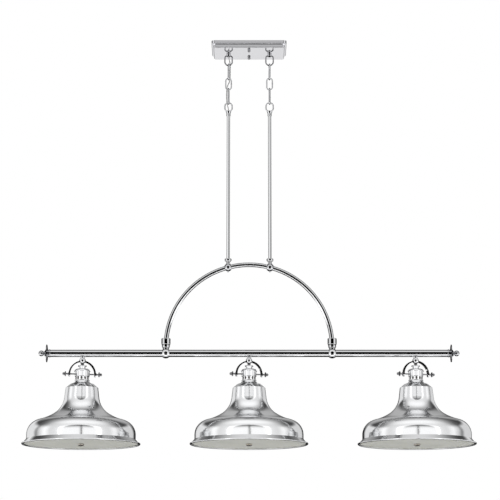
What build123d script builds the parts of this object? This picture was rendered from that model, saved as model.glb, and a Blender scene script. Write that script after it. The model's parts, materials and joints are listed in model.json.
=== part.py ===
from build123d import *
import os
from math import cos, hypot, radians, sin, sqrt, tan

# A chrome island light for three lamps: a ceiling canopy, two chains, two rods, an arch on a long
# bar, and three bell shades that tilt in yokes under the bar. Lengths are in millimetres.
# The origin is the middle of the ceiling face, +Z is up and +X runs along the bar.

# Clearances, and the share of a thickness that its rounded edges take
SEAT_GAP = 0.05
RUNNING_FIT = 0.05
FREE_GAP = 0.3
EDGE_SHARE = 0.3

# Ceiling straps and the screws that carry the canopy
BOX_SCREW_SPACING = 88.9
BOX_SLOT_LENGTH = 14.0
BOX_SLOT_WIDTH = 5.0
CEILING_STRAP_END = 5.5
CROSS_STRAP_END = 12.0
STRAP_WIDTH = 18.0
STRAP_THICK = 2.0
STRAP_CORNER = 4.5
EYELET_BORE = 7.0
EYELET_WALL = 1.5
CANOPY_SCREW_INSET = 32.0
CANOPY_SCREW_DIA = 4.0
CANOPY_KNOB_DIA = 9.5
CANOPY_KNOB_HEIGHT = 7.5
CANOPY_KNOB_SEAT_DIA = 7.6
CANOPY_KNOB_SEAT_HEIGHT = 2.5

# Canopy
CANOPY_WIDTH = 234.0
CANOPY_DEPTH = 140.0
CANOPY_HEIGHT = 22.0
CANOPY_FLANGE_HEIGHT = 11.0
CANOPY_STEP = 6.0
CANOPY_CORNER = 11.0
CANOPY_EDGE = 2.5
CANOPY_WALL = 1.5

# Canopy loops
HANGER_SPACING = 129.0
LOOP_WIRE = 4.0
LOOP_WIDTH = 23.0
LOOP_DROP = 31.0
LOOP_CORNER = 6.0
LOOP_NECK_DIA = 13.5
LOOP_NECK_LENGTH = 8.0
LOOP_NECK_STEP = 1.0
LOOP_THREAD_WALL = 1.75
LOOP_THREAD_SPARE = 5.5
WIREWAY_DIA = 6.0
LOOP_NUT_ACROSS_FLATS = 16.0
LOOP_NUT_HEIGHT = 6.0

# Chains: long, short and long link on each side
LINK_WIRE = 3.8
LINK_WIDTH = 17.4
LONG_LINK = 50.5
SHORT_LINK = 37.2
LONG_LINK_TURN = 9.0

# Supply cord, woven through the left chain
CORD_DIA = 3.0

# Rods and their loops
ROD_LOOP_WIDTH = 22.7
ROD_LOOP_DROP = 29.0
FERRULE_LENGTH = 14.0
FERRULE_TOP_DIA = 17.0
FERRULE_WALL = 1.3
ROD_DIA = 10.0
ROD_WALL = 1.2
ROD_LENGTH = 484.0
ROD_ABOVE_ARCH = 2.0
ROD_COLLAR_DIA = 21.0
ROD_COLLAR_HEIGHT = 8.0
ROD_COLLAR_WALL = 1.5
ROD_COLLAR_NECK_HEIGHT = 9.0

# Arch and the ball fittings on it
ARCH_RADIUS = 254.0
ARCH_TUBE_DIA = 14.0
ARCH_TUBE_WALL = 1.2
ARCH_BALL_DIA = 24.5
ARCH_BALL_TIP_DIA = 5.5
ARCH_BALL_TIP_LENGTH = 3.0
SLEEVE_DIA = 28.0
SLEEVE_HEIGHT = 19.0
SLEEVE_EDGE = 2.0

# Bar, the balls that carry the arch, and the end finials
BAR_DIA = 22.0
BAR_WALL = 1.2
BAR_OVERHANG = 98.0
BAR_BELOW_ARCH_CENTRE = 21.4
BAR_BALL_PROUD = 4.5
BAR_BALL_RING_DIA = 24.0
BAR_BALL_RING_HEIGHT = 10.5
BAR_BALL_NECK_DIA = 17.0
BAR_BALL_NECK_LENGTH = 1.0
FINIAL_SPIGOT = 16.0
FINIAL_BEAD_DIA = 24.0
FINIAL_BEAD_LENGTH = 6.0
FINIAL_DISC_DIA = 54.0
FINIAL_DISC_RIM = 1.8
FINIAL_BACK_LENGTH = 4.5
FINIAL_CONE_LENGTH = 8.0
FINIAL_NECK_DIA = 9.0
FINIAL_BALL_DIA = 17.5
FINIAL_BACK_BOW = 2.0
FINIAL_FACE_BOW = 2.6

# Yokes and the hubs that hold them to the bar
SHADE_SPACING = 508.0
YOKE_TURN = 15.0
YOKE_THICK = 3.6
YOKE_WIDTH = 12.0
YOKE_FOOT = 8.0
YOKE_BALL_DIA = 19.5
YOKE_BALL_RISE = 2.0
HUB_LENGTH = 2.75
HUB_FLARE_DIA = 18.0
HUB_FLARE_BOW = 0.8
HUB_SADDLE = 0.8
HUB_WAIST_WALL = 0.6
HUB_NIPPLE_DIA = 7.4
HUB_NIPPLE_GRIP = 8.0
HUB_NIPPLE_REACH = 6.0
LEAD_DIA = 10.0
LEAD_LENGTH = 6.6

# Thumb screws
PIN_DIA = 4.0
SCREW_COLLAR_DIA = 8.0
SCREW_COLLAR_LENGTH = 2.5
SCREW_SHANK_DIA = 4.6
SCREW_SHANK_LENGTH = 6.5
SCREW_DISC_DIA = 14.6
SCREW_DISC_THICK = 2.6
SCREW_BALL_DIA = 8.4
SCREW_BALL_SINK = 0.4

# Socket caps, with heights measured from the pins
CAP_NUT_DIA = 25.0
CAP_NUT_THICK = 3.4
CAP_NUT_TOP = 26.5
CAP_COLLAR_DIA = 19.0
CAP_DOME_TOP = 16.0
CAP_DOME_TOP_DIA = 30.0
CAP_DOME_BOW = 1.6
CAP_DRUM_TOP = 10.0
CAP_EAVES = 1.6
CAP_EAVES_THICK = 2.0
CAP_DRUM_STEP = 1.5
CAP_DRUM_FOOT = -6.5
CAP_GALLERY_FOOT = -19.0
CAP_SKIRT_FLARE = 9.5
CAP_SKIRT_BOW = 1.8
CAP_FOOT = -30.5
CAP_WALL = 2.6
VENT_COUNT = 12
VENT_WIDTH = 6.0
VENT_MARGIN = 1.8
VENT_ROUNDING = 0.48

# Bell shades, measured up from the rim
SHADE_WALL = 1.2
SHADE_HEIGHT = 184.0
RIM_FLARE = 14.5
RIM_BEAD = 2.4
RIM_HEIGHT = 16.0
BELL_RADIUS = 165.0
BELL_WALL_HEIGHT = 14.0
SHOULDER_RADIUS = 45.0
SHOULDER_SLOPE = 76.0
THROAT_SLOPE = 57.0
THROAT_RADIUS = 66.0
NECK_RADIUS = 53.0
NECK_LEAN = 7.0
CROWN_DROP = 11.5
CROWN_FLAT = 4.5
LAMP_HOLE_GAP = 1.0

# Lamp holders, diffusers and the brackets that carry them
HOLDER_BORE_DIA = 27.0
HOLDER_BORE_DEPTH = 30.0
HOLDER_WALL = 4.5
HOLDER_TOP = -2.0
HOLDER_LENGTH = 62.0
HOLDER_EDGE = 3.0
HOLDER_GAP = 0.4
HOLDER_RING_LIP = 5.5
HOLDER_RING_HEIGHT = 5.0
BRACKET_TOP_LIP = 7.5
BRACKET_NECK_GAP = 8.0
BRACKET_SHOULDER_DROP = 30.0
BRACKET_STRAP_WIDTH = 12.0
BRACKET_STRAP_THICK = 1.6
BRACKET_ABOVE_DIFFUSER = 6.0
DIFFUSER_THICK = 4.0
DIFFUSER_EDGE_SHARE = 0.12
DIFFUSER_HEIGHT = 3.0
STUD_DIA = 6.0
DIFFUSER_KNOB_DIA = 20.0
DIFFUSER_KNOB_HEIGHT = 7.5

# Sizes that follow from the ones above
ceiling_strap_length = BOX_SCREW_SPACING + BOX_SLOT_LENGTH + 2 * CEILING_STRAP_END
canopy_screw_spacing = CANOPY_DEPTH - 2 * CANOPY_SCREW_INSET
cross_strap_length = canopy_screw_spacing + 2 * CROSS_STRAP_END
eyelet_dia = EYELET_BORE + 2 * EYELET_WALL
loop_thread_dia = WIREWAY_DIA + 2 * LOOP_THREAD_WALL
collar_neck_dia = ROD_DIA + 2 * ROD_COLLAR_WALL
bar_length = 2 * (SHADE_SPACING + BAR_OVERHANG)
bar_ball_dia = BAR_DIA + 2 * BAR_BALL_PROUD
hub_waist_dia = HUB_NIPPLE_DIA + 2 * HUB_WAIST_WALL
yoke_ball_top = sqrt((YOKE_BALL_DIA / 2) ** 2 - (hub_waist_dia / 2) ** 2)
yoke_ball_foot = sqrt((YOKE_BALL_DIA / 2) ** 2 - (LEAD_DIA / 2) ** 2)
yoke_ball_centre = CAP_NUT_TOP + LEAD_LENGTH + yoke_ball_foot
yoke_radius = yoke_ball_centre - YOKE_BALL_RISE
holder_dia = HOLDER_BORE_DIA + 2 * HOLDER_WALL
holder_ring_dia = holder_dia + 2 * HOLDER_RING_LIP
cap_gallery_dia = holder_dia + 2 * (HOLDER_GAP + CAP_WALL)
cap_drum_dia = cap_gallery_dia + 2 * CAP_DRUM_STEP
cap_skirt_radius = cap_gallery_dia / 2 + CAP_SKIRT_FLARE
crown_flat_radius = cap_skirt_radius + CROWN_FLAT
rim_edge_radius = BELL_RADIUS + RIM_FLARE

# Heights down the light
underside_z = -CANOPY_HEIGHT
loop_top_z = underside_z - LOOP_NECK_LENGTH
loop_bottom_z = loop_top_z - LOOP_DROP
loop_hook = (LOOP_WIRE + LINK_WIRE) / 2 + FREE_GAP
link_hook = LINK_WIRE + FREE_GAP
link1_top_z = loop_bottom_z + loop_hook
link1_bottom_z = link1_top_z - LONG_LINK
link2_top_z = link1_bottom_z + link_hook
link2_bottom_z = link2_top_z - SHORT_LINK
link3_top_z = link2_bottom_z + LINK_WIRE + SEAT_GAP
link3_bottom_z = link3_top_z - LONG_LINK
rod_loop_top_z = link3_bottom_z + loop_hook
rod_loop_bottom_z = rod_loop_top_z - ROD_LOOP_DROP
rod_top_z = rod_loop_bottom_z - LOOP_WIRE
rod_bottom_z = rod_top_z - ROD_LENGTH
arch_ball_z = rod_bottom_z - ROD_ABOVE_ARCH - ARCH_TUBE_DIA / 2
arch_centre_z = arch_ball_z - sqrt(ARCH_RADIUS**2 - (HANGER_SPACING / 2) ** 2)
bar_z = arch_centre_z - BAR_BELOW_ARCH_CENTRE
ring_foot_z = bar_z + bar_ball_dia / 2 + BAR_BALL_NECK_LENGTH
arch_foot_z = ring_foot_z + BAR_BALL_RING_HEIGHT
hub_foot_z = bar_z - BAR_DIA / 2 - HUB_LENGTH
pin_z = hub_foot_z - yoke_ball_top - yoke_ball_centre
shade_top_z = pin_z + CAP_FOOT
rim_z = shade_top_z - SHADE_HEIGHT
diffuser_z = rim_z + DIFFUSER_HEIGHT
diffuser_top_z = diffuser_z + DIFFUSER_THICK

# Names and places of what repeats
SIDES = {"left": -1, "right": 1}
HANGERS = {name: side * HANGER_SPACING / 2 for name, side in SIDES.items()}
HEADS = {"left": -SHADE_SPACING, "centre": 0.0, "right": SHADE_SPACING}

# The supply cord's route beside the left chain: offsets from the chain's line, and heights.
# It leaves the loop's neck, passes behind the first link, crosses the short link from back to
# front, and comes down in front of the last link into the rod.
CORD_ROUTE = [
    (0.0, 0.0, loop_top_z + 3.0),
    (0.5, 0.5, loop_top_z - 7.0),
    (3.6, 3.2, loop_top_z - 17.0),
    (5.4, 6.6, loop_bottom_z + 2.0),
    (5.2, 7.0, link1_top_z - 19.0),
    (4.9, 6.2, link2_top_z + 8.0),
    (4.2, 4.6, link2_top_z - 7.0),
    (-0.4, 0.0, (link2_top_z + link2_bottom_z) / 2),
    (-4.6, -4.6, link2_bottom_z + 6.0),
    (-5.8, -6.4, link3_top_z - 11.0),
    (-6.1, -6.8, link3_top_z - 30.0),
    (-5.4, -6.0, rod_loop_top_z + 2.0),
    (-3.2, -2.4, rod_loop_top_z - 11.0),
    (0.3, -0.2, rod_loop_top_z - 20.0),
    (0.0, 0.0, rod_loop_bottom_z - LOOP_WIRE / 2),
]
CORD_BEND_SHARE = 0.45


def turned(*points):
    """A solid turned about Z from straight-sided (radius, height) points."""
    return turned_face(Polyline(*points, close=True))


def turned_face(*curves):
    """A solid turned about Z from the closed chain of curves of its half section."""
    edges = [edge for curve in curves for edge in curve.edges()]
    return revolve(Plane.XZ * make_face(edges), Axis.Z)


def post(diameter, low, high):
    """A round post about Z between two heights."""
    return Pos(0, 0, (low + high) / 2) * Cylinder(diameter / 2, high - low)


def box_between(width, depth, low, high):
    """A block centred on Z between two heights."""
    return Pos(0, 0, (low + high) / 2) * Box(width, depth, high - low)


def rounded_block(width, depth, low, high, corner):
    """A block between two heights with round corners in plan."""
    return Pos(0, 0, low) * extrude(RectangleRounded(width, depth, corner), high - low)


def wire_ring(path, diameter):
    """Round wire bent along a closed path in the XZ plane."""
    section = Plane(path @ 0, z_dir=path % 0) * Circle(diameter / 2)
    return sweep(section, path)


def stadium(width, top, bottom):
    """The closed centre line of an oval link between two heights."""
    radius = width / 2
    right = Line((radius, 0, bottom + radius), (radius, 0, top - radius))
    over = ThreePointArc(right @ 1, (0, 0, top), (-radius, 0, top - radius))
    left = Line(over @ 1, (-radius, 0, bottom + radius))
    under = ThreePointArc(left @ 1, (0, 0, bottom), right @ 0)
    return Wire([right, over, left, under])


def shackle(width, top, bottom, corner):
    """The closed centre line of a loop with square shoulders and a round foot."""
    half = width / 2
    slant = corner * sin(radians(45))
    right = Line((half, 0, bottom + half), (half, 0, top - corner))
    right_turn = ThreePointArc(
        right @ 1, (half - corner + slant, 0, top - corner + slant), (half - corner, 0, top)
    )
    over = Line(right_turn @ 1, (corner - half, 0, top))
    left_turn = ThreePointArc(
        over @ 1, (corner - half - slant, 0, top - corner + slant), (-half, 0, top - corner)
    )
    left = Line(left_turn @ 1, (-half, 0, bottom + half))
    under = ThreePointArc(left @ 1, (0, 0, bottom), right @ 0)
    return Wire([right, right_turn, over, left_turn, left, under])


def canopy():
    """Stepped rectangular pan, open to the ceiling, with holes for the loops and screws."""
    low_width = CANOPY_WIDTH - 2 * CANOPY_STEP
    low_depth = CANOPY_DEPTH - 2 * CANOPY_STEP
    low_corner = CANOPY_CORNER - CANOPY_STEP / 2
    flange = rounded_block(CANOPY_WIDTH, CANOPY_DEPTH, -CANOPY_FLANGE_HEIGHT, 0, CANOPY_CORNER)
    flange = fillet(flange.faces().sort_by(Axis.Z)[0].edges(), CANOPY_EDGE)
    body = rounded_block(low_width, low_depth, underside_z, -CANOPY_FLANGE_HEIGHT / 2, low_corner)
    body = fillet(body.faces().sort_by(Axis.Z)[0].edges(), CANOPY_EDGE)
    walls = 2 * CANOPY_WALL
    pan = flange + body - rounded_block(
        low_width - walls, low_depth - walls, underside_z + CANOPY_WALL, 1, low_corner - CANOPY_WALL
    )
    pan -= rounded_block(
        CANOPY_WIDTH - walls,
        CANOPY_DEPTH - walls,
        CANOPY_WALL + CANOPY_EDGE - CANOPY_FLANGE_HEIGHT,
        1,
        CANOPY_CORNER - CANOPY_WALL,
    )
    for x in HANGERS.values():
        pan -= Pos(x, 0, 0) * post(loop_thread_dia + 2 * SEAT_GAP, underside_z - 1, 0)
    for side in (-1, 1):
        screw_y = side * canopy_screw_spacing / 2
        pan -= Pos(0, screw_y, 0) * post(CANOPY_SCREW_DIA + 2 * SEAT_GAP, underside_z - 1, 0)
    return pan


def ceiling_strap():
    """Flat strap along X that is screwed to the ceiling box through two slots."""
    strap = rounded_block(ceiling_strap_length, STRAP_WIDTH, -STRAP_THICK, 0, STRAP_CORNER)
    strap -= post(eyelet_dia + 2 * SEAT_GAP, -2 * STRAP_THICK, STRAP_THICK)
    slot = extrude(SlotOverall(BOX_SLOT_LENGTH, BOX_SLOT_WIDTH), 2 * STRAP_THICK, both=True)
    for side in (-1, 1):
        strap -= Pos(side * BOX_SCREW_SPACING / 2, 0, 0) * slot
    return strap


def cross_strap():
    """Strap along Y under the first, with its eyelet and two tapped holes for the screws."""
    low = -2 * STRAP_THICK
    strap = rounded_block(STRAP_WIDTH, cross_strap_length, low, -STRAP_THICK, STRAP_CORNER)
    strap += post(eyelet_dia, -STRAP_THICK, 0)
    strap -= post(EYELET_BORE, -3 * STRAP_THICK, STRAP_THICK)
    for side in (-1, 1):
        hole = post(CANOPY_SCREW_DIA + 2 * SEAT_GAP, -3 * STRAP_THICK, 0)
        strap -= Pos(0, side * canopy_screw_spacing / 2, 0) * hole
    return strap


def canopy_screws():
    """The two screws that hang from the cross strap through the canopy."""
    reach = underside_z - CANOPY_KNOB_HEIGHT / 2
    screw = post(CANOPY_SCREW_DIA, reach, -STRAP_THICK - SEAT_GAP)
    return [Pos(0, side * canopy_screw_spacing / 2, 0) * screw for side in (-1, 1)]


def canopy_knobs():
    """Round nuts on the screws that hold the canopy up."""
    radius = CANOPY_KNOB_DIA / 2
    knob = post(CANOPY_KNOB_SEAT_DIA, -CANOPY_KNOB_SEAT_HEIGHT, 0)
    knob += Pos(0, 0, radius - CANOPY_KNOB_HEIGHT) * Sphere(radius)
    knob &= box_between(2 * CANOPY_KNOB_DIA, 2 * CANOPY_KNOB_DIA, -2 * CANOPY_KNOB_HEIGHT, 0)
    knob -= post(CANOPY_SCREW_DIA + 2 * SEAT_GAP, -CANOPY_KNOB_HEIGHT / 2 - SEAT_GAP, 1)
    return [Pos(0, side * canopy_screw_spacing / 2, underside_z) * knob for side in (-1, 1)]


def canopy_loop():
    """Loop with a shouldered neck and a hollow threaded stub that goes up through the canopy."""
    ring = wire_ring(shackle(LOOP_WIDTH, loop_top_z, loop_bottom_z, LOOP_CORNER), LOOP_WIRE)
    neck_foot = loop_top_z - LOOP_WIRE / 2
    neck_radius = LOOP_NECK_DIA / 2
    step_radius = neck_radius - LOOP_NECK_STEP
    neck = turned(
        (0, neck_foot),
        (step_radius, neck_foot),
        (step_radius, loop_top_z + LOOP_WIRE / 2),
        (neck_radius, loop_top_z + LOOP_WIRE),
        (neck_radius, underside_z),
        (0, underside_z),
    )
    thread_top = underside_z + CANOPY_WALL + LOOP_NUT_HEIGHT + LOOP_THREAD_SPARE
    thread = post(loop_thread_dia, underside_z, thread_top)
    wireway = post(WIREWAY_DIA, neck_foot - 1, 0)
    return neck + thread + ring - wireway


def loop_nuts():
    """Hexagon nuts inside the canopy that clamp the loops."""
    low = underside_z + CANOPY_WALL
    blank = extrude(RegularPolygon(LOOP_NUT_ACROSS_FLATS / 2, 6, major_radius=False), LOOP_NUT_HEIGHT)
    nut = Pos(0, 0, low) * blank - post(loop_thread_dia + 2 * SEAT_GAP, underside_z, 0)
    return [Pos(x, 0, 0) * nut for x in HANGERS.values()]


def chain_link(top, bottom, turn):
    """One oval link between two heights, turned about Z."""
    return Rot(0, 0, turn) * wire_ring(stadium(LINK_WIDTH, top, bottom), LINK_WIRE)


def supply_cord():
    """Thin cord along its route, with each bend as wide as its two runs allow."""
    points = [Vector(*point) for point in CORD_ROUTE]
    radii = []
    for before, here, after in zip(points, points[1:], points[2:]):
        turn = radians((here - before).get_angle(after - here))
        shorter = min((here - before).length, (after - here).length)
        radii.append(CORD_BEND_SHARE * shorter / tan(turn / 2))
    print("supply cord bend radii:", [round(radius, 1) for radius in radii])
    path = FilletPolyline(*points, radius=radii)
    section = Plane(path @ 0, z_dir=path % 0) * Circle(CORD_DIA / 2)
    cord = sweep(section, path)
    print("supply cord length:", round(path.length, 1))
    return Pos(HANGERS["left"], 0, 0) * cord


def rod_loop():
    """Oval loop with a tapered ferrule that is screwed on the rod's top."""
    ring = wire_ring(stadium(ROD_LOOP_WIDTH, rod_loop_top_z, rod_loop_bottom_z), LOOP_WIRE)
    ferrule_top = rod_loop_bottom_z + LOOP_WIRE / 2
    ferrule_foot = rod_loop_bottom_z - FERRULE_LENGTH
    foot_radius = ROD_DIA / 2 + FERRULE_WALL
    ferrule = turned(
        (0, ferrule_foot),
        (foot_radius, ferrule_foot),
        (foot_radius, (ferrule_top + ferrule_foot) / 2),
        (FERRULE_TOP_DIA / 2, ferrule_top - LOOP_WIRE / 2),
        (FERRULE_TOP_DIA / 2 - LOOP_WIRE / 2, ferrule_top),
        (0, ferrule_top),
    )
    ferrule -= post(ROD_DIA + 2 * SEAT_GAP, ferrule_foot - 1, rod_top_z)
    return ferrule + ring - post(WIREWAY_DIA, rod_top_z - 1, ferrule_top + 1)


def rod():
    """Hollow rod between its loop and its ball fitting."""
    return post(ROD_DIA, rod_bottom_z, rod_top_z) - post(
        ROD_DIA - 2 * ROD_WALL, rod_bottom_z - 1, rod_top_z + 1
    )


def arch_ball_top():
    """Height of the flat on which the rod's collar stands."""
    radius = ARCH_BALL_DIA / 2
    return arch_ball_z + sqrt(radius**2 - (collar_neck_dia / 2) ** 2)


def rod_collars():
    """Lock collars on the rods above their ball fittings."""
    foot = arch_ball_top()
    neck_top = foot + ROD_COLLAR_NECK_HEIGHT
    top = neck_top + ROD_COLLAR_HEIGHT
    neck_radius = collar_neck_dia / 2
    waist_radius = (ROD_DIA + ROD_COLLAR_WALL) / 2
    collar = post(ROD_COLLAR_DIA, neck_top, top)
    collar = fillet(collar.edges().filter_by(GeomType.CIRCLE), EDGE_SHARE * ROD_COLLAR_HEIGHT)
    collar += turned(
        (0, foot),
        (neck_radius, foot),
        (waist_radius, (foot + neck_top) / 2),
        (neck_radius, neck_top),
        (0, neck_top),
    )
    collar -= post(ROD_DIA + 2 * SEAT_GAP, foot - 1, top + 1)
    return [Pos(x, 0, 0) * collar for x in HANGERS.values()]


def arch_tube(outer_radius):
    """A half ring of round section, cut level at the arch's feet."""
    ring = Pos(0, 0, arch_centre_z) * Rot(90, 0, 0) * Torus(ARCH_RADIUS, outer_radius)
    span = 2 * (ARCH_RADIUS + ARCH_TUBE_DIA)
    return ring & box_between(span, span, arch_foot_z, arch_foot_z + span)


def arch():
    """Half-round tube that stands on the bar."""
    outer = ARCH_TUBE_DIA / 2
    return arch_tube(outer) - arch_tube(outer - ARCH_TUBE_WALL)


def arch_ball(x):
    """Ball fitting threaded on the arch, with a socket for the rod and a button below."""
    radius = ARCH_BALL_DIA / 2
    tip_foot = arch_ball_z - radius - ARCH_BALL_TIP_LENGTH
    ball = Pos(0, 0, arch_ball_z) * Sphere(radius)
    ball += post(ARCH_BALL_TIP_DIA, tip_foot + ARCH_BALL_TIP_DIA / 2, arch_ball_z)
    ball += Pos(0, 0, tip_foot + ARCH_BALL_TIP_DIA / 2) * Sphere(ARCH_BALL_TIP_DIA / 2)
    ball &= box_between(2 * radius, 2 * radius, tip_foot - 1, arch_ball_top())
    ball -= post(ROD_DIA + 2 * SEAT_GAP, rod_bottom_z, arch_ball_top() + 1)
    return Pos(x, 0, 0) * ball - arch_tube(ARCH_TUBE_DIA / 2 + SEAT_GAP)


def arch_sleeve(x):
    """Round sleeve over the foot of the arch."""
    sleeve = post(SLEEVE_DIA, arch_foot_z, arch_foot_z + SLEEVE_HEIGHT)
    sleeve = fillet(sleeve.edges().filter_by(GeomType.CIRCLE), SLEEVE_EDGE)
    return Pos(x, 0, 0) * sleeve - arch_tube(ARCH_TUBE_DIA / 2 + SEAT_GAP)


def bar_ball(x):
    """Ball on the bar with the ring that the sleeve and the arch stand on."""
    ring = post(BAR_BALL_RING_DIA, ring_foot_z, arch_foot_z)
    ring = fillet(ring.edges().group_by(Axis.Z)[0], EDGE_SHARE * BAR_BALL_RING_HEIGHT)
    neck = post(BAR_BALL_NECK_DIA, bar_z, ring_foot_z + BAR_BALL_RING_HEIGHT / 2)
    ball = Pos(0, 0, bar_z) * Sphere(bar_ball_dia / 2) + neck + ring
    return Pos(x, 0, 0) * (ball - along_bar(BAR_DIA / 2 + SEAT_GAP, 2 * bar_ball_dia))


def along_bar(radius, length):
    """A round post on the bar's axis, centred under the canopy."""
    return Pos(0, 0, bar_z) * Rot(0, 90, 0) * Cylinder(radius, length)


def bar():
    """Long hollow bar with a hole below for each hub's nipple."""
    tube = along_bar(BAR_DIA / 2, bar_length)
    tube -= along_bar(BAR_DIA / 2 - BAR_WALL, bar_length + 2)
    for x in HEADS.values():
        tube -= Pos(x, 0, 0) * post(HUB_NIPPLE_DIA + 2 * SEAT_GAP, bar_z - BAR_DIA, bar_z)
    return tube


def end_finial(side):
    """Turned end of the bar: spigot, bead, thin disc with a hollowed face, and a ball."""
    spigot_radius = BAR_DIA / 2 - BAR_WALL - SEAT_GAP
    disc_radius = FINIAL_DISC_DIA / 2
    neck_radius = FINIAL_NECK_DIA / 2
    bead_top = FINIAL_BEAD_LENGTH
    rim_foot = bead_top + FINIAL_BACK_LENGTH
    rim_top = rim_foot + FINIAL_DISC_RIM
    cone_top = rim_top + FINIAL_CONE_LENGTH
    ball_radius = FINIAL_BALL_DIA / 2
    ball_centre = cone_top + sqrt(ball_radius**2 - neck_radius**2)
    bead = post(FINIAL_BEAD_DIA, 0, bead_top)
    bead = fillet(bead.edges().filter_by(GeomType.CIRCLE), EDGE_SHARE * bead_top)
    disc = turned_face(
        Polyline((0, cone_top), (0, bead_top), (spigot_radius, bead_top)),
        SagittaArc((spigot_radius, bead_top), (disc_radius, rim_foot), FINIAL_BACK_BOW),
        Line((disc_radius, rim_foot), (disc_radius, rim_top)),
        SagittaArc((disc_radius, rim_top), (neck_radius, cone_top), FINIAL_FACE_BOW),
        Line((neck_radius, cone_top), (0, cone_top)),
    )
    ball = Pos(0, 0, ball_centre) * Sphere(ball_radius)
    finial = post(2 * spigot_radius, -FINIAL_SPIGOT, bead_top) + bead + disc + ball
    return Pos(side * bar_length / 2, 0, bar_z) * Rot(0, side * 90, 0) * finial


def hub(x):
    """Flared coupling screwed into the bar, with a nipple down into the yoke's ball."""
    waist = (hub_waist_dia / 2, hub_foot_z)
    brim = (HUB_FLARE_DIA / 2, bar_z - BAR_DIA / 2)
    saddle_z = brim[1] + HUB_SADDLE
    flare = turned_face(
        Polyline((0, saddle_z), (0, waist[1]), waist),
        SagittaArc(waist, brim, HUB_FLARE_BOW),
        Polyline(brim, (brim[0], saddle_z), (0, saddle_z)),
    )
    flare -= along_bar(BAR_DIA / 2 + SEAT_GAP, 4 * HUB_FLARE_DIA)
    nipple_top = brim[1] + BAR_WALL + HUB_NIPPLE_REACH
    nipple = post(HUB_NIPPLE_DIA, waist[1] - HUB_NIPPLE_GRIP, nipple_top)
    return Pos(x, 0, 0) * (flare + nipple)


def in_yoke(x, piece):
    """Put a piece made about the pin's centre under the bar, turned as the yoke is."""
    return Pos(x, 0, pin_z) * Rot(0, 0, YOKE_TURN) * piece


def yoke(x):
    """Half-ring strap with a ball at its crown and an eye in each foot."""
    outer = yoke_radius + YOKE_THICK / 2
    inner = yoke_radius - YOKE_THICK / 2
    foot_radius = YOKE_WIDTH / 2
    foot_z = foot_radius - YOKE_FOOT
    side_view = (Circle(outer) - Circle(inner)) & Pos(0, outer) * Rectangle(2 * outer, 2 * outer)
    leg = Rectangle(YOKE_THICK, YOKE_FOOT, align=(Align.CENTER, Align.MAX))
    for side in (-1, 1):
        side_view += Pos(side * yoke_radius, 0) * leg
    strap = extrude(Plane.XZ * side_view, YOKE_WIDTH / 2, both=True)
    round_foot = Pos(0, 0, foot_z) * Rot(0, 90, 0) * Cylinder(foot_radius, 3 * outer)
    strap &= round_foot + box_between(3 * outer, 2 * YOKE_WIDTH, foot_z, 2 * outer)
    top = yoke_ball_centre + yoke_ball_top
    foot = yoke_ball_centre - yoke_ball_foot
    ball = Pos(0, 0, yoke_ball_centre) * Sphere(YOKE_BALL_DIA / 2)
    strap += ball & box_between(2 * YOKE_BALL_DIA, 2 * YOKE_BALL_DIA, foot, top)
    strap -= post(HUB_NIPPLE_DIA + 2 * SEAT_GAP, top - HUB_NIPPLE_GRIP, top + 1)
    strap -= Rot(0, 90, 0) * Cylinder(PIN_DIA / 2 + RUNNING_FIT, 3 * outer)
    return in_yoke(x, strap)


def lead(x):
    """Short wound sleeve for the lead between the yoke's ball and the cap's nut."""
    return Pos(x, 0, pin_z) * post(LEAD_DIA, CAP_NUT_TOP, CAP_NUT_TOP + LEAD_LENGTH)


def thumb_screws(x):
    """The two thumb screws: pin, collar, shank, disc and ball, turned in one piece each."""
    tip = cap_drum_dia / 2 - CAP_WALL
    collar = yoke_radius + YOKE_THICK / 2 + FREE_GAP
    shank = collar + SCREW_COLLAR_LENGTH
    disc = shank + SCREW_SHANK_LENGTH
    disc_end = disc + SCREW_DISC_THICK
    ball_radius = SCREW_BALL_DIA / 2
    ball_centre = disc_end + ball_radius - SCREW_BALL_SINK
    screw = post(PIN_DIA, tip, collar)
    screw += post(SCREW_COLLAR_DIA, collar, shank)
    screw += post(SCREW_SHANK_DIA, shank, disc)
    wheel = post(SCREW_DISC_DIA, disc, disc_end)
    screw += fillet(wheel.edges().filter_by(GeomType.CIRCLE), EDGE_SHARE * SCREW_DISC_THICK)
    screw += Pos(0, 0, ball_centre) * Sphere(ball_radius)
    return [in_yoke(x, Rot(0, side * 90, 0) * screw) for side in (-1, 1)]


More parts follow.
